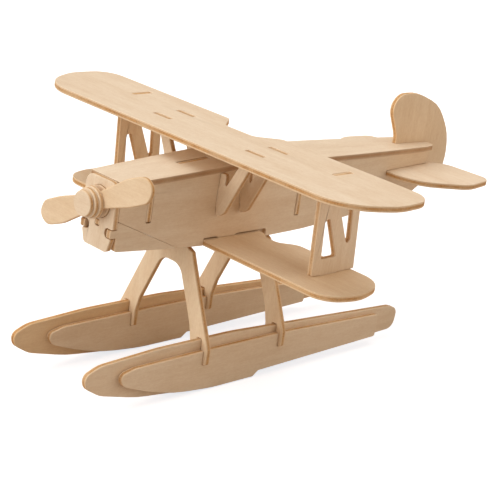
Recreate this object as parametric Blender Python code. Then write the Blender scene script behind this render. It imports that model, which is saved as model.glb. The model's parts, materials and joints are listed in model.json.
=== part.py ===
"""Plywood puzzle floatplane: interlocking flat plates, nose toward -Y, port side +X, keels on Z = 0.

All driving dimensions are millimetres and are turned into metres when a mesh is made.
"""
import math

import bmesh
import bpy
from mathutils import Matrix, Vector

MM = 0.001
MIDSHIP = 49.02      # station that becomes Y = 0, half way between float noses and fin
PLY = 2.5            # plate thickness
FIT = 0.3            # clearance between neighbouring plates
SLOT = PLY + 2 * FIT  # width of a slot that takes a plate

# wings
WING_TOP = 108.5
LOWER_TOP = 64.2
STRUT_X = 64.4       # middle plane of each interplane strut
STRUT_Y = 18.0       # middle of the strut tabs
STRUT_TAB = 10.8
CABANE_Y = (0.5, 14.7)
CABANE_TAB = (24.5, 34.9)

# fuselage
NOSE_FACE = -57.0
BODY_FRONT = NOSE_FACE + PLY + FIT
BODY_REAR = 150.2
SIDE_FRONT_X = 9.9   # outer face of a side plate at the nose
SIDE_REAR_X = 7.6
SIDE_BOW = 3.6
DECK_LIP = 1.0
RIDGE_Y = 10.0       # where the two deck plates meet
RIDGE_Z = 98.1
DECK_FRONT_SLOPE = 0.0508
DECK_REAR_SLOPE = -0.0414
FORMER_FRONT_Y = -38.2
FORMER_REAR_Y = 52.5
KEEL_TAB = (-14.9, 2.5)
STABILISER_TOP = 83.0

# floats
FLOAT_X = 24.4
FRAME_Y = (-10.5, 37.0)
FORK_TOP = (23.8, 22.4)
PRONG_FOOT = 12.6
FOOT_PROUD = 1.5     # how far the feet stand out from the float cheeks

# propeller, drawn level and then turned about its shaft
AXIS_Z = 84.5
PROP_TURN = 26.0
SHAFT_R = 2.0
BORE_R = SHAFT_R + FIT
BOSS_R = 6.8         # boss disc let into a round hole in the nose plate
BOSS_PROUD = 0.8
PROP_THICK = 2.0
DISC_THICK = 1.8
DISC_R = (6.8, 6.2, 5.4)


# ---------------------------------------------------------------- outlines

def rounded(corners):
    """Closed outline from (x, y, radius) corners, each rounded by an arc."""
    out = []
    count = len(corners)
    for i, (x, y, r) in enumerate(corners):
        here = Vector((x, y))
        back = (Vector(corners[i - 1][:2]) - here).normalized()
        ahead = (Vector(corners[(i + 1) % count][:2]) - here).normalized()
        half = back.angle(ahead) / 2
        if r <= 0 or half > math.radians(89.5):
            out.append((x, y))
            continue
        reach = r / math.tan(half)
        centre = here + (back + ahead).normalized() * (r / math.sin(half))
        start = here + back * reach - centre
        turn = start.angle_signed(here + ahead * reach - centre)
        facet = 11 if r > 1.2 else 24
        steps = max(2, math.ceil(abs(turn) / math.radians(facet)))
        for k in range(steps + 1):
            p = centre + Matrix.Rotation(-turn * k / steps, 2) @ start
            out.append((p.x, p.y))
    return out


def mirrored(half):
    """Both halves of a symmetric outline from its x > 0 corners."""
    return half + [(-x, y, r) for x, y, r in reversed(half)]


def box(x0, x1, y0, y1, r=0.4):
    return rounded([(x0, y0, r), (x1, y0, r), (x1, y1, r), (x0, y1, r)])


def circle(x, y, r, steps=40):
    turn = [2 * math.pi * k / steps for k in range(steps)]
    return [(x + r * math.cos(a), y + r * math.sin(a)) for a in turn]


def flipped(loops):
    return [[(-x, y) for x, y in loop] for loop in loops]


# ---------------------------------------------------------------- plates

AXES = {
    "XY": Matrix(((1, 0, 0), (0, 1, 0), (0, 0, 1))),
    "YZ": Matrix(((0, 0, 1), (1, 0, 0), (0, 1, 0))),
    "XZ": Matrix(((1, 0, 0), (0, 0, -1), (0, 1, 0))),
}


def plate_mesh(name, loops, plane, middle, thick=PLY):
    """Mesh of a flat plate: loops in its plane, middle = position of its mid plane."""
    curve = bpy.data.curves.new(name + "_outline", "CURVE")
    curve.dimensions = "2D"
    curve.fill_mode = "BOTH"
    curve.extrude = thick / 2 * MM
    for loop in loops:
        spline = curve.splines.new("POLY")
        spline.points.add(len(loop) - 1)
        for point, (x, y) in zip(spline.points, loop):
            point.co = (x * MM, y * MM, 0, 1)
        spline.use_cyclic_u = True
    drawn = bpy.data.objects.new(name + "_outline", curve)
    bpy.context.scene.collection.objects.link(drawn)
    bpy.context.view_layer.update()
    mesh = bpy.data.meshes.new_from_object(drawn)
    mesh.transform(drawn.matrix_world)
    bpy.data.objects.remove(drawn)
    bpy.data.curves.remove(curve)
    mesh.name = name
    turn = AXES[plane]
    mesh.transform(turn.to_4x4())
    mesh.transform(Matrix.Translation(turn.col[2] * middle * MM))
    weld(mesh)
    return mesh


def weld(mesh):
    bm = bmesh.new()
    bm.from_mesh(mesh)
    bmesh.ops.remove_doubles(bm, verts=bm.verts, dist=1e-6)
    bmesh.ops.recalc_face_normals(bm, faces=bm.faces)
    bm.to_mesh(mesh)
    bm.free()


def turn_about_x(mesh, y, z, angle):
    pivot = Vector((0, y * MM, z * MM))
    mesh.transform(Matrix.Translation(pivot) @ Matrix.Rotation(angle, 4, "X") @ Matrix.Translation(-pivot))


def turn_about_shaft(mesh):
    pivot = Vector((0, 0, AXIS_Z * MM))
    turn = Matrix.Rotation(-math.radians(PROP_TURN), 4, "Y")
    mesh.transform(Matrix.Translation(pivot) @ turn @ Matrix.Translation(-pivot))


def shade(mesh):
    """Smooth round edges, keep plate arrises and corners crisp."""
    mesh.shade_smooth()
    mesh.set_sharp_from_angle(angle=math.radians(30))


def timber(name, colour, roughness):
    mat = bpy.data.materials.new(name + "_plywood")
    mat.use_nodes = True
    shader = mat.node_tree.nodes["Principled BSDF"]
    shader.inputs["Base Color"].default_value = (*colour, 1)
    shader.inputs["Roughness"].default_value = roughness
    shader.inputs["Metallic"].default_value = 0
    mat.diffuse_color = (*colour, 1)
    return mat


CREAM = (0.80, 0.63, 0.42)
HONEY = (0.76, 0.57, 0.35)
TAN = (0.70, 0.51, 0.31)


def add(collection, name, mesh, colour, roughness=0.7, origin=None):
    """Link a finished mesh; origin moves the object's origin without moving the shape."""
    shade(mesh)
    mesh.materials.append(timber(name, colour, roughness))
    mesh.transform(Matrix.Translation((0, -MIDSHIP * MM, 0)))
    piece = bpy.data.objects.new(name, mesh)
    if origin is not None:
        spot = Vector((origin[0], origin[1] - MIDSHIP, origin[2])) * MM
        mesh.transform(Matrix.Translation(-spot))
        piece.location = spot
    collection.objects.link(piece)
    return piece


# ---------------------------------------------------------------- fuselage shape

def side_x(y):
    """Outer face of a side plate at station y: a gentle bow from nose to tail."""
    t = (y - BODY_FRONT) / (BODY_REAR - BODY_FRONT)
    return SIDE_FRONT_X + (SIDE_REAR_X - SIDE_FRONT_X) * t + 4 * SIDE_BOW * t * (1 - t)


def deck_top(y):
    slope = DECK_FRONT_SLOPE if y < RIDGE_Y else DECK_REAR_SLOPE
    return RIDGE_Z + slope * (y - RIDGE_Y)


def under_deck(y):
    return deck_top(y) - PLY - FIT


def bow(mesh, side):
    """Bend a straight side plate to the bow of the fuselage; side is +1 port, -1 starboard."""
    bm = bmesh.new()
    bm.from_mesh(mesh)
    station = BODY_FRONT + 12
    while station < BODY_REAR:
        geom = bm.verts[:] + bm.edges[:] + bm.faces[:]
        bmesh.ops.bisect_plane(bm, geom=geom, dist=1e-7, plane_co=(0, station * MM, 0), plane_no=(0, 1, 0))
        station += 12
    for vert in bm.verts:
        vert.co.x += side * (side_x(vert.co.y / MM) - PLY / 2) * MM
    bm.to_mesh(mesh)
    bm.free()


def side_loops():
    slot = SLOT / 2
    top = STABILISER_TOP + FIT
    bottom = STABILISER_TOP - PLY - FIT
    root = LOWER_TOP + 0.9
    outline = rounded([
        (BODY_FRONT, under_deck(BODY_FRONT), 0.5),
        (RIDGE_Y, under_deck(RIDGE_Y), 0),
        (BODY_REAR, under_deck(BODY_REAR), 0.8),
        (BODY_REAR, top, 0.3),
        (116.3, top, 0.5),
        (116.3, bottom, 0.5),
        (BODY_REAR, bottom, 0.3),
        (BODY_REAR, 73.4, 2.5),
        (141.0, 69.0, 8),
        (90.0, 63.4, 60),
        (58.0, 61.6, 30),
        (33.5, 61.3, 0.6),
        (33.5, root, 1.2),
        (14.5, root, 0.4),
        (13.5, LOWER_TOP + FIT, 0.4),
        (3.5, LOWER_TOP + FIT, 0.4),
        (2.5, root, 0.4),
        (-5.3, root, 0.6),
        (-5.3, 61.7, 0.4),
        (-19.4, 62.45, 0.3),
        (BODY_FRONT, 78.2, 0.3),
    ])
    loops = [outline]
    loops.append(box(FORMER_FRONT_Y - slot, FORMER_FRONT_Y + slot, 75.7, 88.8, 0.9))
    loops.append(box(FORMER_REAR_Y - slot, FORMER_REAR_Y + slot, 68.7, 82.3, 0.9))
    for y in CABANE_Y:
        loops.append(box(y - slot, y + slot, 79.0, 89.0, 0.8))
    return loops


def cheek_loops():
    return [rounded([
        (BODY_FRONT, 77.8, 0.3),
        (-20.6, 62.6, 0.2),
        (BODY_FRONT, 64.9, 1.0),
        (BODY_FRONT, 71.0, 0.3),
        (NOSE_FACE - 0.5, 71.0, 0.5),
        (NOSE_FACE - 0.5, 74.2, 0.5),
        (BODY_FRONT, 74.2, 0.3),
    ])]


def sides(col):
    for name, sign in (("port", 1), ("starboard", -1)):
        mesh = plate_mesh("fuselage_side_" + name, side_loops(), "YZ", 0)
        bow(mesh, sign)
        add(col, "fuselage_side_" + name, mesh, TAN)
        mesh = plate_mesh("cheek_" + name, cheek_loops(), "YZ", 0)
        bow(mesh, sign)
        add(col, "cheek_" + name, mesh, TAN)


def nose(col):
    outline = rounded(mirrored([
        (7.4, 64.2, 1.8),
        (9.2, 70.3, 0.4),
        (5.1, 70.3, 1.8),
        (5.1, 74.8, 1.8),
        (10.0, 74.8, 0.5),
        (9.9, deck_top(NOSE_FACE) - 0.1, 4.5),
    ]))
    loops = [outline, circle(0, AXIS_Z, BOSS_R + FIT), box(-SLOT / 2, SLOT / 2, 73.6, 76.8, 1.0)]
    mesh = plate_mesh("nose_plate", loops, "XZ", -(NOSE_FACE + PLY / 2))
    add(col, "nose_plate", mesh, CREAM)


def deck(col):
    steps = 8
    run = [BODY_FRONT + (RIDGE_Y - FIT - BODY_FRONT) * k / steps for k in range(steps + 1)]
    edge = [(side_x(y) + DECK_LIP, y, 0) for y in run]
    edge[0] = (*edge[0][:2], 0.8)
    edge[-1] = (*edge[-1][:2], 0.8)
    outline = rounded(mirrored(edge))
    loops = [outline, box(-SLOT / 2, SLOT / 2, KEEL_TAB[0] - FIT, KEEL_TAB[1] + FIT, 0.5)]
    mesh = plate_mesh("fuselage_deck_front", loops, "XY", RIDGE_Z - PLY / 2)
    turn_about_x(mesh, RIDGE_Y, RIDGE_Z, math.atan(DECK_FRONT_SLOPE))
    add(col, "fuselage_deck_front", mesh, CREAM)

    tail = 147.0
    run = [RIDGE_Y + FIT + (tail - RIDGE_Y - FIT) * k / steps for k in range(steps + 1)]
    half = [(side_x(y) + DECK_LIP, y, 0.8 if y == run[0] else 0) for y in run[:-1]]
    half += [(side_x(tail) + DECK_LIP, tail, 6), (7.4, 154.6, 3.4), (SLOT / 2, 155.4, 0.3), (SLOT / 2, 130.9, 0.3)]
    mesh = plate_mesh("fuselage_deck_rear", [rounded(mirrored(half))], "XY", RIDGE_Z - PLY / 2)
    turn_about_x(mesh, RIDGE_Y, RIDGE_Z, math.atan(DECK_REAR_SLOPE))
    add(col, "fuselage_deck_rear", mesh, CREAM)


def keel(col):
    slot = SLOT / 2
    lap = 80.3
    rear = FORMER_REAR_Y - PLY / 2 - FIT
    y0 = FORMER_FRONT_Y - slot
    y1 = FORMER_FRONT_Y + slot
    outline = rounded([
        (BODY_FRONT, 68.0, 0.5),
        (rear, 68.0, 0.5),
        (rear, under_deck(rear), 0.5),
        (RIDGE_Y, under_deck(RIDGE_Y), 0),
        (KEEL_TAB[1], under_deck(KEEL_TAB[1]), 0.2),
        (KEEL_TAB[1], deck_top(KEEL_TAB[1]) - 0.3, 0.4),
        (KEEL_TAB[0], deck_top(KEEL_TAB[0]) - 0.3, 0.4),
        (KEEL_TAB[0], under_deck(KEEL_TAB[0]), 0.2),
        (y1, under_deck(y1), 0.4),
        (y1, lap, 0.4),
        (y0, lap, 0.4),
        (y0, under_deck(y0), 0.4),
        (-45.5, under_deck(-45.5), 0.5),
        (-45.5, 79.0, 1.0),
        (BODY_FRONT, 79.0, 0.5),
        (BODY_FRONT, 76.2, 0.3),
        (NOSE_FACE + 0.1, 76.2, 0.5),
        (NOSE_FACE + 0.1, 74.2, 0.5),
        (BODY_FRONT, 74.2, 0.3),
    ])
    mesh = plate_mesh("centre_keel", [outline], "YZ", 0)
    add(col, "centre_keel", mesh, TAN)


def formers(col):
    """Cross walls between the side plates; their tabs show in the side slots."""
    slot = SLOT / 2
    plan = (
        ("former_front", FORMER_FRONT_Y, 72.5, 76.3, 88.2, 0.0, True),
        ("former_rear", FORMER_REAR_Y, 65.5, 69.3, 81.7, 0.6, False),
    )
    for name, y, base, tab0, tab1, proud, lapped in plan:
        wall = min(side_x(y - PLY / 2), side_x(y + PLY / 2)) - PLY - 0.4
        tip = side_x(y) + proud
        top = min(under_deck(y - PLY / 2), under_deck(y + PLY / 2))
        half = [(wall, base, 0.5), (wall, tab0, 0.2), (tip, tab0, 0.6), (tip, tab1, 0.6)]
        half += [(wall, tab1, 0.2), (wall, top, 0.5)]
        corners = mirrored(half)
        if lapped:
            corners += [(-slot, base, 0.3), (-slot, 80.3 - 2 * FIT + slot, 0.3)]
            corners += [(slot, 80.3 - 2 * FIT + slot, 0.3), (slot, base, 0.3)]
        mesh = plate_mesh(name, [rounded(corners)], "XZ", -y)
        add(col, name, mesh, TAN)


# ---------------------------------------------------------------- wings and tail

def upper_wing(col):
    half = [
        (95.0, -15.6, 24),
        (105.4, 8.0, 20),
        (104.0, 30.3, 11),
        (17.2, 30.3, 3),
        (9.2, 19.8, 5),
    ]
    loops = [rounded(mirrored(half))]
    slot = SLOT / 2
    for sign in (1, -1):
        x = sorted((sign * (CABANE_TAB[0] - FIT), sign * (CABANE_TAB[1] + FIT)))
        for y in CABANE_Y:
            loops.append(box(x[0], x[1], y - slot, y + slot, 0.8))
        reach = STRUT_TAB / 2 + FIT
        loops.append(box(sign * STRUT_X - slot, sign * STRUT_X + slot, STRUT_Y - reach, STRUT_Y + reach, 0.8))
    add(col, "upper_wing", plate_mesh("upper_wing", loops, "XY", WING_TOP - PLY / 2), CREAM)


def lower_wing(col):
    half = [
        (84.8, -5.0, 12),
        (89.8, 12.0, 20),
        (84.0, 32.6, 14),
        (34.0, 32.6, 6),
        (27.5, 25.8, 5),
        (20.5, 25.6, 4),
        (15.5, 29.0, 3),
    ]
    loops = [rounded(mirrored(half))]
    slot = SLOT / 2
    reach = STRUT_TAB / 2 + FIT
    for x in (STRUT_X, -STRUT_X):
        loops.append(box(x - slot, x + slot, STRUT_Y - reach, STRUT_Y + reach, 0.8))
    add(col, "lower_wing", plate_mesh("lower_wing", loops, "XY", LOWER_TOP - PLY / 2), CREAM)


def struts(col):
    """Interplane struts: N-shaped plates with one tab into each wing."""
    t0 = STRUT_Y - STRUT_TAB / 2
    t1 = STRUT_Y + STRUT_TAB / 2
    under = WING_TOP - PLY - FIT
    over = LOWER_TOP + FIT
    outline = rounded([
        (7.4, over, 0.6),
        (t0, over, 0.2),
        (t0, LOWER_TOP - PLY + 0.2, 0.4),
        (t1, LOWER_TOP - PLY + 0.2, 0.4),
        (t1, over, 0.2),
        (34.0, over, 0.6),
        (30.6, under, 0.6),
        (t1, under, 0.2),
        (t1, WING_TOP - 0.2, 0.4),
        (t0, WING_TOP - 0.2, 0.4),
        (t0, under, 0.2),
        (5.4, under, 0.6),
    ])
    lower = rounded([(11.6, 71.6, 0.8), (21.0, 71.6, 0.8), (13.4, 89.6, 0.9), (10.4, 89.2, 0.9)])
    upper = rounded([(16.6, 98.5, 0.8), (26.8, 98.5, 0.8), (28.5, 78.4, 0.9), (26.6, 76.2, 0.9)])
    for name, x in (("port", STRUT_X), ("starboard", -STRUT_X)):
        mesh = plate_mesh("interplane_strut_" + name, [outline, lower, upper], "YZ", x)
        add(col, "interplane_strut_" + name, mesh, HONEY)


def cabanes(col):
    """Four V-shaped cabane struts: a leg against the side plate and an arm up to the wing."""
    for label, y in zip(("front", "rear"), CABANE_Y):
        skin = side_x(y) + FIT + 0.05
        top = min(under_deck(y - PLY / 2), under_deck(y + PLY / 2))
        outline = rounded([
            (skin, top, 0.6),
            (skin + 3.1, top, 1.0),
            (skin + 3.6, 88.3, 0.7),
            (24.5, 103.8, 0.8),
            (24.5, WING_TOP - 0.2, 0.4),
            (34.9, WING_TOP - 0.2, 0.4),
            (34.9, WING_TOP - PLY - FIT, 0.2),
            (33.6, WING_TOP - PLY - FIT, 0.3),
            (29.4, 102.6, 2.5),
            (skin + 4.6, 77.6, 2.0),
            (skin + 1.6, 75.4, 1.6),
            (skin, 76.4, 0.8),
            (skin, 79.3, 0.2),
            (skin - PLY - 0.2, 79.3, 0.5),
            (skin - PLY - 0.2, 88.7, 0.5),
            (skin, 88.7, 0.2),
        ])
        for side, loops in (("port", [outline]), ("starboard", flipped([outline]))):
            name = "cabane_" + label + "_" + side
            add(col, name, plate_mesh(name, loops, "XZ", -y), HONEY)


def tail(col):
    half = [
        (16.4, 116.6, 6),
        (29.4, 120.4, 22),
        (42.6, 142.0, 14),
        (39.6, 162.2, 6),
        (13.0, 160.6, 10),
        (6.4, 153.0, 1.5),
    ]
    mesh = plate_mesh("stabiliser", [rounded(mirrored(half))], "XY", STABILISER_TOP - PLY / 2)
    add(col, "stabiliser", mesh, CREAM)
    over = STABILISER_TOP + FIT + 0.2
    outline = rounded([
        (131.2, over, 0.5),
        (131.2, 97.0, 8),
        (124.4, 110.4, 8),
        (127.4, 118.2, 8),
        (142.0, 118.4, 30),
        (161.0, 111.0, 25),
        (171.6, 96.5, 25),
        (174.4, 84.0, 25),
        (172.6, 76.0, 4),
        (155.6, 76.0, 0.8),
        (155.6, over, 0.4),
    ])
    add(col, "fin", plate_mesh("fin", [outline], "YZ", 0), HONEY)


# ---------------------------------------------------------------- floats

def float_frames(col):
    """Arched cross frames: neck between the side plates, forked feet over the float cores."""
    slot = SLOT / 2
    for label, y, fork in zip(("front", "rear"), FRAME_Y, FORK_TOP):
        neck = min(side_x(y - PLY / 2), side_x(y + PLY / 2)) - PLY - 0.4
        inner = (FLOAT_X - slot, FLOAT_X - slot - PLY - FOOT_PROUD)
        outer = (FLOAT_X + slot, FLOAT_X + slot + PLY + FOOT_PROUD)
        half = [
            (6.2, 51.9, 7.0),
            (16.8, 28.4, 9.0),
            (inner[1], 20.4, 4.0),
            (inner[1], PRONG_FOOT, 0.8),
            (inner[0], PRONG_FOOT, 0.8),
            (inner[0], fork, 0.5),
            (outer[0], fork, 0.5),
            (outer[0], PRONG_FOOT, 0.8),
            (outer[1], PRONG_FOOT, 0.8),
            (outer[1], 20.0, 8.0),
            (13.6, 56.4, 1.2),
            (12.4, 59.4, 1.0),
            (neck, 60.9, 0.4),
            (neck, 67.6, 0.8),
        ]
        name = "float_frame_" + label
        add(col, name, plate_mesh(name, [rounded(mirrored(half))], "XZ", -y), HONEY)


KEEL_STEP = [(25.2, 2.4, 0.6), (22.0, 0, 0.8)]


def float_plates(col):
    """Each float: a long core plate between two shorter cheek plates notched for the feet."""
    core = [(-76.2, 18.4, 3.4), (-68.4, 21.7, 14), (-36.0, 23.4, 120), (8.0, 23.3, 150), (118.0, 17.2, 6)]
    core += [(124.3, 15.0, 4), (123.4, 4.8, 5), (100.0, 4.1, 60)]
    core += KEEL_STEP + [(-16.0, 0, 110), (-46.0, 3.0, 80), (-67.0, 8.2, 14), (-75.0, 13.0, 5)]
    side = [(-59.6, 16.4, 2.6), (-51.0, 18.5, 12), (FRAME_Y[0] - SLOT / 2, 18.9, 0.3)]
    for k, y in enumerate(FRAME_Y):
        lip = 18.9 - 0.2 * k
        if k:
            side.append((y - SLOT / 2, lip, 0.3))
        side += [(y - SLOT / 2, PRONG_FOOT - FIT, 0.5), (y + SLOT / 2, PRONG_FOOT - FIT, 0.5)]
        side.append((y + SLOT / 2, lip, 0.3))
    side += [(106.3, 15.8, 1.5), (106.3, 4.4, 1.0)]
    side += KEEL_STEP + [(-4.0, 0, 100), (-27.0, 2.0, 90), (-43.0, 6.3, 40), (-56.6, 11.2, 5)]
    offset = PLY + FIT
    for name, x in (("port", FLOAT_X), ("starboard", -FLOAT_X)):
        out = math.copysign(offset, x)
        for part, outline, place in (("core", core, x), ("inner", side, x - out), ("outer", side, x + out)):
            full = name + "_float_" + part
            add(col, full, plate_mesh(full, [rounded(outline)], "YZ", place), HONEY)


# ---------------------------------------------------------------- propeller

def disc(col, name, radius, face, thick, bored, colour, spins):
    loops = [circle(0, AXIS_Z, radius, 48)]
    if bored:
        loops.append(circle(0, AXIS_Z, BORE_R))
    mesh = plate_mesh(name, loops, "XZ", -(face + thick / 2), thick)
    add(col, name, mesh, colour, origin=(0, face, AXIS_Z) if spins else None)


def shaft_mesh(name, y0, y1):
    bm = bmesh.new()
    bmesh.ops.create_cone(bm, cap_ends=True, segments=40, radius1=SHAFT_R * MM, radius2=SHAFT_R * MM,
                          depth=(y1 - y0) * MM)
    mesh = bpy.data.meshes.new(name)
    bm.to_mesh(mesh)
    bm.free()
    mesh.transform(Matrix.Rotation(math.pi / 2, 4, "X"))
    mesh.transform(Matrix.Translation(Vector((0, (y0 + y1) / 2, AXIS_Z)) * MM))
    return mesh


def propeller(col):
    face = NOSE_FACE - BOSS_PROUD
    disc(col, "nose_boss", BOSS_R, face, PLY, True, CREAM, False)
    face -= FIT + PROP_THICK
    blade = [(5.0, 3.6, 2), (24.0, 6.0, 22), (35.6, 5.0, 5.6), (37.6, -1.0, 4.2), (33.4, -5.6, 6.4), (22.0, -5.5, 22),
             (5.0, -3.6, 2)]
    outline = [(x, AXIS_Z + z) for x, z in rounded(blade + [(-x, -z, r) for x, z, r in blade])]
    mesh = plate_mesh("propeller", [outline, circle(0, AXIS_Z, BORE_R)], "XZ", -(face + PROP_THICK / 2), PROP_THICK)
    turn_about_shaft(mesh)
    add(col, "propeller", mesh, HONEY, origin=(0, face, AXIS_Z))
    names = ("hub_disc_rear", "hub_disc_front", "hub_cap")
    for name, radius in zip(names, DISC_R):
        face -= FIT + DISC_THICK
        disc(col, name, radius, face, DISC_THICK, name != "hub_cap", CREAM, True)
    shaft_front = face + DISC_THICK + FIT
    collar = NOSE_FACE + PLY + FIT
    add(col, "propeller_shaft", shaft_mesh("propeller_shaft", shaft_front, collar + 3.2), HONEY,
        origin=(0, shaft_front, AXIS_Z))
    disc(col, "shaft_collar", 4.2, collar, 2.4, True, HONEY, True)


def main():
    for obj in list(bpy.data.objects):
        bpy.data.objects.remove(obj)
    col = bpy.data.collections.new("plywood_floatplane")
    bpy.context.scene.collection.children.link(col)
    cutters = bpy.data.collections.new("cutters")
    bpy.context.scene.collection.children.link(cutters)
    cutters.hide_render = True
    for build in (sides, nose, deck, keel, formers, upper_wing, lower_wing, struts, cabanes, tail,
                  float_frames, float_plates, propeller):
        build(col)


main()
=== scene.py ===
"""Looks for the plywood puzzle floatplane.

Every CAD plate is rebuilt from its own outline as a pressed-out plywood piece: sanded rounded
arrises, exact smooth normals, and a grain coordinate that drives one procedural birch ply material.
All lengths are metres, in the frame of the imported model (nose toward -Y, port side +X).
"""
import json
import math

import bmesh
import bpy
import numpy as np
from mathutils import Matrix, Vector
from mathutils.geometry import tessellate_polygon


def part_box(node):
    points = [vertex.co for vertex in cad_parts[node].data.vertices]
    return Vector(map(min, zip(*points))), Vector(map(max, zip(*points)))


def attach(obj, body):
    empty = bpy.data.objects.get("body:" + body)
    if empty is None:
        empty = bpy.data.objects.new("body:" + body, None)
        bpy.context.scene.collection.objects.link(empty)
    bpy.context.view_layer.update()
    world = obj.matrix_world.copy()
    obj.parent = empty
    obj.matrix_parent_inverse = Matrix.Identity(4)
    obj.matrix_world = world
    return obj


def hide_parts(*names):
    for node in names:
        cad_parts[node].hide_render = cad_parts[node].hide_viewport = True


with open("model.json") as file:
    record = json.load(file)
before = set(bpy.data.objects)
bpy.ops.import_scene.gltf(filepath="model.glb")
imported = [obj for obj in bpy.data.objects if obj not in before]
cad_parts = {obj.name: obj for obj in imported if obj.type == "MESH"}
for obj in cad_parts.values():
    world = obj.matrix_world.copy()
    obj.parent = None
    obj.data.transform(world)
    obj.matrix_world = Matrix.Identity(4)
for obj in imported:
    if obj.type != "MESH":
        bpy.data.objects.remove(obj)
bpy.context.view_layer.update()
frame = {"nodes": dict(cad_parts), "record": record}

RECORD = frame["record"]
BODY_OF = {n: body for body, members in RECORD["behaviour"]["bodies"].items() for n in members}

MM = 0.001
X, Y, Z = Vector((1, 0, 0)), Vector((0, 1, 0)), Vector((0, 0, 1))

PRESS_FIT = 0.09 * MM   # a plate is this much fuller than its CAD body, to fill some of the clearance
CHEEK_FIT = 0.17 * MM   # the same for the outline of a nose cheek, which closes its seam
BEVEL_STEPS = 3
MIN_MITRE = 0.5         # limits how far a sharp corner of an outline is pushed out
BOW_STATION = 6 * MM    # spacing of the cross cuts on a bowed plate
SHORT_PLATE = 20 * MM   # a bowed plate shorter than this is treated as straight
FLAT_COS = 0.9          # a face whose normal is this close to the plate normal is a broad face
WELD = 2e-6
SAME_STATION = 1e-5
SLIVER = 1e-14          # twice the area of the smallest triangle that is kept
DOWEL_SIDES = 48
DOWEL_CHAMFER = 0.35 * MM

BOWED = ("fuselage_side_port", "fuselage_side_starboard", "cheek_port", "cheek_starboard")

# Tints of the plates against plain birch: mostly the tone of each sheet, but the amber one is painted
# shade and the cream one on the lower wing is partly painted light.
PLAIN = (0.98, 0.98, 0.98)
PALE = (1.03, 1.06, 1.10)
CREAM = (1.04, 1.03, 0.99)
WARM = (1.0, 0.97, 0.91)
# painted shade: the warm darkening of a plate that stands in shade with warm bounce light
SHADE_AMBER = (0.95, 0.86, 0.72)

# Start of the node's name, direction of its face grain, tint of the plate (sheet tone, on some plates
# painted light or shade), browning of its cut edge (0 to 1: real burn, and where set high painted
# shade) and radius of its sanded arris in millimetres. The first row that fits is used.
FINISH = (
    ("upper_wing", X, PLAIN, 0.0, 0.26),
    # the cream tint of the lower wing is partly painted light: it lightens the wing where the upper
    # wing shades it
    ("lower_wing", X, CREAM, 0.1, 0.26),
    ("stabiliser", X, PLAIN, 0.0, 0.26),
    # the deck's high browning is partly painted shade on its cut edge, which lies in shade
    ("fuselage_deck", Y, PLAIN, 0.75, 0.30),
    ("fuselage_side", Y, PLAIN, 0.35, 0.22),
    ("cheek", Y, PLAIN, 0.2, 0.24),
    ("nose_plate", Z, PALE, 0.1, 0.30),
    ("nose_boss", Z, PLAIN, 0.2, 0.30),
    ("centre_keel", Y, PALE, 0.0, 0.26),
    ("former", Z, PALE, 0.0, 0.26),
    ("fin", Z, WARM, 0.0, 0.26),
    ("cabane", Vector((0.5, 0, 1)), PLAIN, 0.25, 0.34),
    ("interplane_strut_port", Z, PALE, 0.15, 0.30),
    ("interplane_strut_starboard", Z, WARM, 0.15, 0.30),
    ("float_frame", Z, CREAM, 0.15, 0.40),
    ("port_float", Y, PLAIN, 0.0, 0.40),
    # the amber tint of the starboard float core is painted shade, not the tone of its sheet
    ("starboard_float_core", Y, SHADE_AMBER, 0.0, 0.40),
    ("starboard_float", Y, PLAIN, 0.0, 0.40),
    ("propeller", X, WARM, 0.1, 0.62),
    ("hub", X, PALE, 0.0, 0.42),
    ("shaft_collar", X, PLAIN, 0.1, 0.26),
)


# ---------------------------------------------------------------- reading a CAD plate

def welded(node):
    bm = bmesh.new()
    bm.from_mesh(frame["nodes"][node].data)
    bmesh.ops.remove_doubles(bm, verts=bm.verts, dist=WELD)
    bm.normal_update()
    return bm


def plate_normal(bm, node):
    """Unit normal of the broad faces, pointing to the positive side of its main axis."""
    if node in BOWED:
        return X.copy()
    total = Vector()
    lead = max(bm.faces, key=lambda f: f.calc_area()).normal
    for face in bm.faces:
        if face.normal.dot(lead) > FLAT_COS:
            total += face.normal * face.calc_area()
    total.normalize()
    main = max(range(3), key=lambda i: abs(total[i]))
    return total if total[main] > 0 else -total


def outline_loops(bm, normal):
    """Closed chains of rim points of the broad face on the +normal side, material on the left."""
    step = {}
    for face in bm.faces:
        if face.normal.dot(normal) <= FLAT_COS:
            continue
        for loop in face.loops:
            other = [f for f in loop.edge.link_faces if f is not face]
            if other and other[0].normal.dot(normal) <= FLAT_COS:
                step[loop.vert.index] = loop.link_loop_next.vert.index
    bm.verts.ensure_lookup_table()
    loops = []
    while step:
        start = next(iter(step))
        here = start
        chain = []
        while here in step:
            chain.append(bm.verts[here].co.copy())
            here = step.pop(here)
        if len(chain) > 3:
            loops.append(chain)
    return loops


def finish_of(node):
    return next(row[1:] for row in FINISH if node.startswith(row[0]))


def thickness(bm, normal, bowed):
    """Thickness of a plate and the height of its middle along its normal."""
    if bowed:
        station = next(iter(bm.verts)).co.y
        heights = [v.co.x for v in bm.verts if abs(v.co.y - station) < SAME_STATION]
        return max(heights) - min(heights), 0.0
    heights = [v.co.dot(normal) for v in bm.verts]
    return max(heights) - min(heights), (max(heights) + min(heights)) / 2


# ---------------------------------------------------------------- building the plywood piece

def outward(points):
    """Mitre direction at each point of a closed 2-D outline with its material on the left."""
    out = []
    for i, here in enumerate(points):
        a = (here - points[i - 1]).normalized()
        b = (points[(i + 1) % len(points)] - here).normalized()
        na, nb = Vector((a.y, -a.x)), Vector((b.y, -b.x))
        mean = (na + nb).normalized()
        out.append((mean, mean / max(MIN_MITRE, mean.dot(nb))))
    return out


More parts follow.
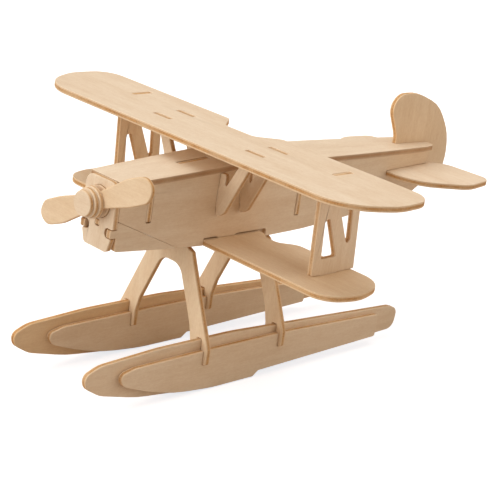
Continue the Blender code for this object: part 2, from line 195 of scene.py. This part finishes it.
def edge_profile(half, arris):
    """(inset, height, tilt) of each ring of a plate, from its lower face to its upper face."""
    quarter = [math.pi / 2 * k / BEVEL_STEPS for k in range(BEVEL_STEPS + 1)]
    upper = [(arris * (1 - math.cos(t)), half - arris * (1 - math.sin(t)), t) for t in quarter]
    return [(inset, -height, -tilt) for inset, height, tilt in reversed(upper)] + upper


def plate_piece(loops2d, half, arris, fuller, origin, axis_a, axis_b, normal):
    """Mesh of one plate from its outline, with its analytic normals in the layer "smooth"."""
    bm = bmesh.new()
    keep = bm.verts.layers.float_vector.new("smooth")
    rings = edge_profile(half, arris)
    first = []
    last = []
    for points in loops2d:
        directions = outward(points)
        grid = []
        for inset, height, tilt in rings:
            row = []
            for point, (mean, mitre) in zip(points, directions):
                flat = point + mitre * (fuller - inset)
                vert = bm.verts.new(origin + axis_a * flat.x + axis_b * flat.y + normal * height)
                side = axis_a * mean.x + axis_b * mean.y
                vert[keep] = side * math.cos(tilt) + normal * math.sin(tilt)
                row.append(vert)
            grid.append(row)
        count = len(points)
        for lower, upper in zip(grid, grid[1:]):
            for i in range(count):
                j = (i + 1) % count
                bm.faces.new((lower[i], lower[j], upper[j], upper[i]))
        first += grid[0]
        last += grid[-1]
    flat_points = [p for points in loops2d for p in points]
    for tri in tessellate_polygon([[p.to_3d() for p in points] for points in loops2d]):
        a, b, c = (flat_points[i] for i in tri)
        turn = (b - a).cross(c - a)
        if abs(turn) < SLIVER:
            continue
        order = tri if turn > 0 else (tri[0], tri[2], tri[1])
        bm.faces.new([last[i] for i in order])
        bm.faces.new([first[i] for i in reversed(order)])
    return bm


def bend(bm, node_bm):
    """Cross-cut a straight plate and bend it to the bow of its CAD plate.

    Returns the height of each vertex in the plate before it was bent.
    """
    outer = [v.co for v in node_bm.verts if any(f.normal.x > FLAT_COS for f in v.link_faces)]
    ys = np.array([p.y for p in outer])
    xs = np.array([p.x for p in outer])
    curve = np.polyfit(ys, xs, 2 if np.ptp(ys) > SHORT_PLATE else 1)
    slope = np.polyder(curve)
    keep = bm.verts.layers.float_vector["smooth"]
    station = ys.min() + BOW_STATION
    while station < ys.max():
        geom = bm.verts[:] + bm.edges[:] + bm.faces[:]
        bmesh.ops.bisect_plane(bm, geom=geom, dist=1e-7, plane_co=(0, station, 0), plane_no=Y)
        station += BOW_STATION
    heights = {}
    for vert in bm.verts:
        heights[vert] = vert.co.x
        y = vert.co.y
        vert.co.x += float(np.polyval(curve, y))
        n = vert[keep]
        bent = Vector((n.x, n.y - float(np.polyval(slope, y)) * n.x, n.z))
        vert[keep] = bent.normalized()
    return heights


def finish_mesh(bm, name, node, axis_g, axis_c, levels, look, seed):
    """Write grain coordinates and normals, and make the piece ride on its CAD body.

    The grain coordinate is (along, across, level): the first two are moved to another place in the
    sheet for each plate, and the level runs from -1 to 1 through its thickness.
    """
    keep = bm.verts.layers.float_vector["smooth"]
    bm.verts.index_update()
    shift = Vector((0.731 * seed % 5.0, 0.417 * seed % 3.0))
    ply = []
    for v in bm.verts:
        ply.append((v.co.dot(axis_g) + shift.x, v.co.dot(axis_c) + shift.y, levels[v]))
    normals = [tuple(v[keep].normalized()) for v in bm.verts]
    bm.verts.layers.float_vector.remove(keep)
    mesh = bpy.data.meshes.new(name)
    bm.to_mesh(mesh)
    bm.free()
    coords = mesh.attributes.new("ply", "FLOAT_VECTOR", "POINT")
    coords.data.foreach_set("vector", np.array(ply, np.float32).ravel())
    # tint carries sheet tone and, on some plates, painted shade or light; browning carries edge burn
    # and painted shade
    tint, browning_and_shade = look
    shade = mesh.attributes.new("tint", "FLOAT_VECTOR", "POINT")
    shade.data.foreach_set("vector", np.tile(np.array(tint, np.float32), len(ply)))
    burn_and_shade_layer = mesh.attributes.new("browning_and_shade", "FLOAT", "POINT")
    burn_and_shade_layer.data.foreach_set("value", np.full(len(ply), browning_and_shade, np.float32))
    mesh.shade_smooth()
    mesh.normals_split_custom_set_from_vertices(normals)
    piece = bpy.data.objects.new(name, mesh)
    bpy.context.scene.collection.objects.link(piece)
    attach(piece, BODY_OF[node])
    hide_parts(node)
    return piece


def rebuild_plate(node, seed):
    source = welded(node)
    bowed = node in BOWED
    normal = plate_normal(source, node)
    along, tint, browning_and_shade, arris = finish_of(node)
    axis_a = (along - normal * along.dot(normal)).normalized()
    axis_b = normal.cross(axis_a)
    loops = outline_loops(source, normal)
    thick, middle = thickness(source, normal, bowed)
    half = thick / 2 + PRESS_FIT
    fuller = CHEEK_FIT if node.startswith("cheek") else PRESS_FIT
    loops2d = [[Vector((p.dot(axis_a), p.dot(axis_b))) for p in loop] for loop in loops]
    bm = plate_piece(loops2d, half, arris * MM, fuller, normal * middle, axis_a, axis_b, normal)
    if bowed:
        bmesh.ops.translate(bm, verts=bm.verts, vec=-normal * (thick / 2))
        heights = bend(bm, source)
        levels = {v: (height + thick / 2) / half for v, height in heights.items()}
    else:
        levels = {v: (v.co.dot(normal) - middle) / half for v in bm.verts}
    source.free()
    return finish_mesh(bm, "ply_" + node, node, axis_a, axis_b, levels, (tint, browning_and_shade), seed)


# ---------------------------------------------------------------- the dowel

def rebuild_shaft(node, seed):
    """Turned birch dowel with chamfered ends, along Y."""
    low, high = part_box(node)
    centre = (low + high) / 2
    radius = (high.x - low.x) / 2
    stations = [(low.y, radius - DOWEL_CHAMFER), (low.y + DOWEL_CHAMFER, radius)]
    stations += [(high.y - DOWEL_CHAMFER, radius), (high.y, radius - DOWEL_CHAMFER)]
    bm = bmesh.new()
    keep = bm.verts.layers.float_vector.new("smooth")
    rows = []
    for y, r in stations:
        row = []
        for k in range(DOWEL_SIDES):
            a = 2 * math.pi * k / DOWEL_SIDES
            side = Vector((math.cos(a), 0, math.sin(a)))
            vert = bm.verts.new(Vector((centre.x, y, centre.z)) + side * r)
            vert[keep] = side
            row.append(vert)
        rows.append(row)
    for lower, upper in zip(rows, rows[1:]):
        for k in range(DOWEL_SIDES):
            j = (k + 1) % DOWEL_SIDES
            bm.faces.new((lower[k], upper[k], upper[j], lower[j]))
    for row, facing in ((rows[0], -Y), (rows[-1], Y)):
        rim = [bm.verts.new(v.co) for v in row]
        for vert in rim:
            vert[keep] = facing
        bm.faces.new(rim if facing.y < 0 else rim[::-1])
    bmesh.ops.recalc_face_normals(bm, faces=bm.faces)
    levels = dict.fromkeys(bm.verts, 1.0)
    return finish_mesh(bm, "dowel_" + node, node, Y, X, levels, (PLAIN, 0.0), seed)


# ---------------------------------------------------------------- birch ply material

class Tree:
    """Short calls for building the shader node tree of a material or a world."""

    def __init__(self, owner):
        owner.use_nodes = True
        self.nodes = owner.node_tree.nodes
        self.links = owner.node_tree.links

    def add(self, kind, **settings):
        node = self.nodes.new(kind)
        for key, value in settings.items():
            setattr(node, key, value)
        return node

    def plug(self, target, value):
        if isinstance(value, bpy.types.NodeSocket):
            self.links.new(value, target)
        else:
            target.default_value = value

    def math(self, op, a, b=0.0, clamp=False):
        node = self.add("ShaderNodeMath", operation=op, use_clamp=clamp)
        self.plug(node.inputs[0], a)
        self.plug(node.inputs[1], b)
        return node.outputs[0]

    def scaled(self, vector, scale):
        node = self.add("ShaderNodeVectorMath", operation="MULTIPLY")
        self.plug(node.inputs[0], vector)
        node.inputs[1].default_value = scale
        return node.outputs[0]

    def noise(self, vector, detail=2.0, rough=0.5, distort=0.0):
        node = self.add("ShaderNodeTexNoise")
        self.plug(node.inputs["Vector"], vector)
        node.inputs["Scale"].default_value = 1.0
        node.inputs["Detail"].default_value = detail
        node.inputs["Roughness"].default_value = rough
        node.inputs["Distortion"].default_value = distort
        return node.outputs[0]

    def span(self, value, low, high, to_low=0.0, to_high=1.0):
        node = self.add("ShaderNodeMapRange", interpolation_type="SMOOTHSTEP")
        self.plug(node.inputs["Value"], value)
        node.inputs["From Min"].default_value = low
        node.inputs["From Max"].default_value = high
        node.inputs["To Min"].default_value = to_low
        node.inputs["To Max"].default_value = to_high
        return node.outputs[0]

    def mix(self, factor, a, b):
        node = self.add("ShaderNodeMix", data_type="RGBA")
        self.plug(node.inputs[0], factor)
        self.plug(node.inputs[6], a)
        self.plug(node.inputs[7], b)
        return node.outputs[2]


FACE_LIGHT = (0.90, 0.74, 0.55, 1)
FACE_MID = (0.755, 0.56, 0.37, 1)
FACE_FLECK = (0.55, 0.36, 0.20, 1)
EDGE_VENEER = (0.80, 0.59, 0.37, 1)
EDGE_CORE = (0.66, 0.36, 0.14, 1)
EDGE_CORE_DARK = (0.44, 0.21, 0.075, 1)
# brown of a burnt cut edge, also used as painted shade on shaded edges
EDGE_BROWN = (0.40, 0.235, 0.135, 1)
GLUE_LINE = (0.33, 0.16, 0.065, 1)

# Pattern scales: cycles per metre along the grain and across it, then per level of the thickness.
FIGURE = (8, 95, 0.7)
FIBRES = (130, 2400, 2)
MOTTLE = (60, 150, 1)
SPECKLE = (520, 1000, 1)
FLECKS = (420, 3600, 1)
GROWTH_LINES = (3, 62, 0)
LAYER_WOBBLE = (260, 260, 0)
PORES = (1500, 1500, 1.5)
TOAST = (95, 95, 0)

# Levels through the thickness, 0 at the middle and 1 at a broad face.
CORE_TO_VENEER = (0.34, 0.46)
GLUE_LEVEL = 0.41
GLUE_REACH = 0.07
EDGE_TO_FACE = (0.80, 0.96)


def growth_lines(t, ply):
    lines = t.add("ShaderNodeTexWave", wave_type="BANDS", bands_direction="Y", wave_profile="SAW")
    t.plug(lines.inputs["Vector"], t.scaled(ply, GROWTH_LINES))
    lines.inputs["Scale"].default_value = 1.0
    lines.inputs["Distortion"].default_value = 5.5
    lines.inputs["Detail"].default_value = 2.0
    lines.inputs["Detail Scale"].default_value = 0.8
    return lines.outputs["Fac"]


def face_veneer(t, ply, fibres):
    """Colour of a broad face, and the strength of its dark flecks."""
    figure = t.noise(t.scaled(ply, FIGURE), 3.0, 0.55, 0.5)
    mottle = t.noise(t.scaled(ply, MOTTLE), 4.0, 0.7)
    speckle = t.noise(t.scaled(ply, SPECKLE), 2.0, 0.7)
    flecks = t.noise(t.scaled(ply, FLECKS), 1.0)
    shade = t.math("MULTIPLY", t.span(figure, 0.32, 0.68), 0.30)
    shade = t.math("ADD", shade, t.math("MULTIPLY", t.span(fibres, 0.3, 0.72), 0.24))
    shade = t.math("ADD", shade, t.math("MULTIPLY", t.span(mottle, 0.3, 0.7), 0.30))
    shade = t.math("ADD", shade, t.math("MULTIPLY", t.span(speckle, 0.3, 0.7), 0.24))
    shade = t.math("ADD", shade, t.math("MULTIPLY", growth_lines(t, ply), 0.12), clamp=True)
    face = t.mix(shade, FACE_LIGHT, FACE_MID)
    fleck = t.math("MULTIPLY", t.span(flecks, 0.66, 0.78), 0.28)
    return t.mix(fleck, face, FACE_FLECK), fleck


def cut_edge(t, ply, level, pores, browning_and_shade):
    """Colour of a cut edge: light veneers round a dark end-grain core, with glue lines between."""
    wobble = t.noise(t.scaled(ply, LAYER_WOBBLE), 1.0)
    layer = t.math("ADD", level, t.math("MULTIPLY", t.math("SUBTRACT", wobble, 0.5), 0.12))
    toast = t.noise(t.scaled(ply, TOAST), 2.0)
    core = t.mix(t.span(pores, 0.35, 0.7), EDGE_CORE, EDGE_CORE_DARK)
    core = t.mix(t.span(toast, 0.35, 0.7, 0.0, 0.45), core, EDGE_VENEER)
    veneer = t.mix(t.span(pores, 0.35, 0.75, 0.0, 0.35), EDGE_VENEER, EDGE_CORE)
    edge = t.mix(t.span(layer, *CORE_TO_VENEER), core, veneer)
    seam = t.math("ABSOLUTE", t.math("SUBTRACT", layer, GLUE_LEVEL))
    edge = t.mix(t.span(seam, 0.0, GLUE_REACH, 0.55, 0.0), edge, GLUE_LINE)
    # browning darkens the cut edge toward brown: real burn, and where it is set high, painted shade
    burnt_and_shaded = t.math("MULTIPLY", browning_and_shade, t.span(toast, 0.2, 0.7, 1.0, 0.7))
    return t.mix(burnt_and_shaded, edge, EDGE_BROWN)


def birch_ply():
    material = bpy.data.materials.new("birch_ply")
    t = Tree(material)
    shader = t.nodes["Principled BSDF"]
    ply = t.add("ShaderNodeAttribute", attribute_name="ply").outputs["Vector"]
    tint = t.add("ShaderNodeAttribute", attribute_name="tint").outputs["Vector"]
    browning_and_shade = t.add("ShaderNodeAttribute", attribute_name="browning_and_shade").outputs["Fac"]
    depth = t.add("ShaderNodeSeparateXYZ")
    t.plug(depth.inputs[0], ply)
    level = t.math("ABSOLUTE", depth.outputs["Z"])
    on_face = t.span(level, *EDGE_TO_FACE)
    on_edge = t.math("SUBTRACT", 1.0, on_face)
    fibres = t.noise(t.scaled(ply, FIBRES), 3.0, 0.6)
    pores = t.noise(t.scaled(ply, PORES), 3.0, 0.65)

    face, fleck = face_veneer(t, ply, fibres)
    edge = cut_edge(t, ply, level, pores, browning_and_shade)
    # the plate tint is multiplied in: sheet tone, and on some plates painted shade or painted light
    tinted = t.add("ShaderNodeVectorMath", operation="MULTIPLY")
    t.plug(tinted.inputs[0], t.mix(on_face, edge, face))
    t.plug(tinted.inputs[1], tint)
    t.plug(shader.inputs["Base Color"], tinted.outputs[0])

    # sanded face, rougher cut edge
    rough = t.math("ADD", t.math("MULTIPLY", fibres, 0.16), 0.47)
    rough = t.math("ADD", rough, t.math("MULTIPLY", on_edge, 0.18))
    t.plug(shader.inputs["Roughness"], rough)
    relief = t.math("MULTIPLY", fibres, 0.6)
    relief = t.math("SUBTRACT", relief, t.math("MULTIPLY", fleck, 0.8))
    torn = t.math("MULTIPLY", pores, on_edge)
    relief = t.math("ADD", relief, t.math("MULTIPLY", torn, 1.3))
    bump = t.add("ShaderNodeBump")
    bump.inputs["Strength"].default_value = 0.35
    bump.inputs["Distance"].default_value = 0.08 * MM
    t.plug(bump.inputs["Height"], relief)
    t.plug(shader.inputs["Normal"], bump.outputs[0])
    shader.inputs["Specular IOR Level"].default_value = 0.32
    return material


# ---------------------------------------------------------------- stage, light and camera

FLOOR_COLOUR = (0.58, 0.51, 0.45, 1)
FLOOR_LIFT = (0.70, 0.74, 0.78, 1)
FLOOR_REACH = 6.0
FLOOR_DROP = 0.4 * MM
SKY_COLOUR = (1.0, 0.86, 0.74, 1)
SKY_STRENGTH = 0.34
WHITE = (1.0, 1.0, 1.0, 1)

# name, direction toward the light, strength, softness in degrees, colour
SUNS = (
    ("key_overhead", (-0.20, -0.12, 1.0), 1.80, 62, (0.97, 1.02, 1.09)),
    ("fill_front", (-0.35, -1.0, 0.30), 1.50, 50, (1.0, 1.0, 0.98)),
    ("fill_rear", (0.85, 1.10, 0.45), 0.80, 50, (1.0, 0.91, 0.80)),
)

SENSOR_WIDTH = 36
LENS = 111.16
CLIP_START = 0.01
CAMERA_PLACE = Vector((0.46014327, -0.51046134, 0.28041792))
CAMERA_RIGHT = Vector((0.69456686, 0.70517416, 0.14250011))
CAMERA_UP = Vector((-0.3263666, 0.13232554, 0.93593525))
CAMERA_BACK = Vector((0.64114095, -0.69657689, 0.32205422))


def floor_material():
    """Warm pale floor; what the camera sees directly is lifted to white paper."""
    material = bpy.data.materials.new("pale_floor")
    t = Tree(material)
    shader = t.nodes["Principled BSDF"]
    shader.inputs["Base Color"].default_value = FLOOR_COLOUR
    shader.inputs["Roughness"].default_value = 0.9
    shader.inputs["Emission Color"].default_value = FLOOR_LIFT
    seen = t.add("ShaderNodeLightPath").outputs["Is Camera Ray"]
    t.plug(shader.inputs["Emission Strength"], seen)
    return material


def build_stage():
    signs = ((-1, -1), (1, -1), (1, 1), (-1, 1))
    bm = bmesh.new()
    bm.faces.new([bm.verts.new((sx * FLOOR_REACH, sy * FLOOR_REACH, -FLOOR_DROP)) for sx, sy in signs])
    mesh = bpy.data.meshes.new("floor")
    bm.to_mesh(mesh)
    bm.free()
    floor = bpy.data.objects.new("floor", mesh)
    mesh.materials.append(floor_material())
    bpy.context.scene.collection.objects.link(floor)


def build_world():
    """Warm sky light, which the camera sees as a white backdrop."""
    world = bpy.data.worlds.new("studio")
    bpy.context.scene.world = world
    t = Tree(world)
    sky = t.nodes["Background"]
    sky.inputs["Color"].default_value = SKY_COLOUR
    sky.inputs["Strength"].default_value = SKY_STRENGTH
    backdrop = t.add("ShaderNodeBackground")
    backdrop.inputs["Color"].default_value = WHITE
    choice = t.add("ShaderNodeMixShader")
    t.plug(choice.inputs[0], t.add("ShaderNodeLightPath").outputs["Is Camera Ray"])
    t.plug(choice.inputs[1], sky.outputs[0])
    t.plug(choice.inputs[2], backdrop.outputs[0])
    t.plug(t.nodes["World Output"].inputs["Surface"], choice.outputs[0])


def build_suns():
    for name, toward, energy, softness, colour in SUNS:
        light = bpy.data.lights.new(name, "SUN")
        light.energy = energy
        light.angle = math.radians(softness)
        light.color = colour
        lamp = bpy.data.objects.new(name, light)
        lamp.rotation_mode = "QUATERNION"
        lamp.rotation_quaternion = Vector(toward).to_track_quat("Z", "Y")
        bpy.context.scene.collection.objects.link(lamp)


def build_camera():
    data = bpy.data.cameras.new("camera")
    data.sensor_width = SENSOR_WIDTH
    data.lens = LENS
    data.clip_start = CLIP_START
    camera = bpy.data.objects.new("camera", data)
    turn = Matrix((CAMERA_RIGHT, CAMERA_UP, CAMERA_BACK)).transposed().to_4x4()
    camera.matrix_world = Matrix.Translation(CAMERA_PLACE) @ turn
    bpy.context.scene.collection.objects.link(camera)
    bpy.context.scene.camera = camera


# ---------------------------------------------------------------- assembly

wood = birch_ply()
for seed, node_name in enumerate(sorted(frame["nodes"]), start=1):
    make = rebuild_shaft if node_name == "propeller_shaft" else rebuild_plate
    make(node_name, seed).data.materials.append(wood)

build_stage()
build_world()
build_suns()
build_camera()
bpy.context.scene.view_settings.view_transform = "Standard"
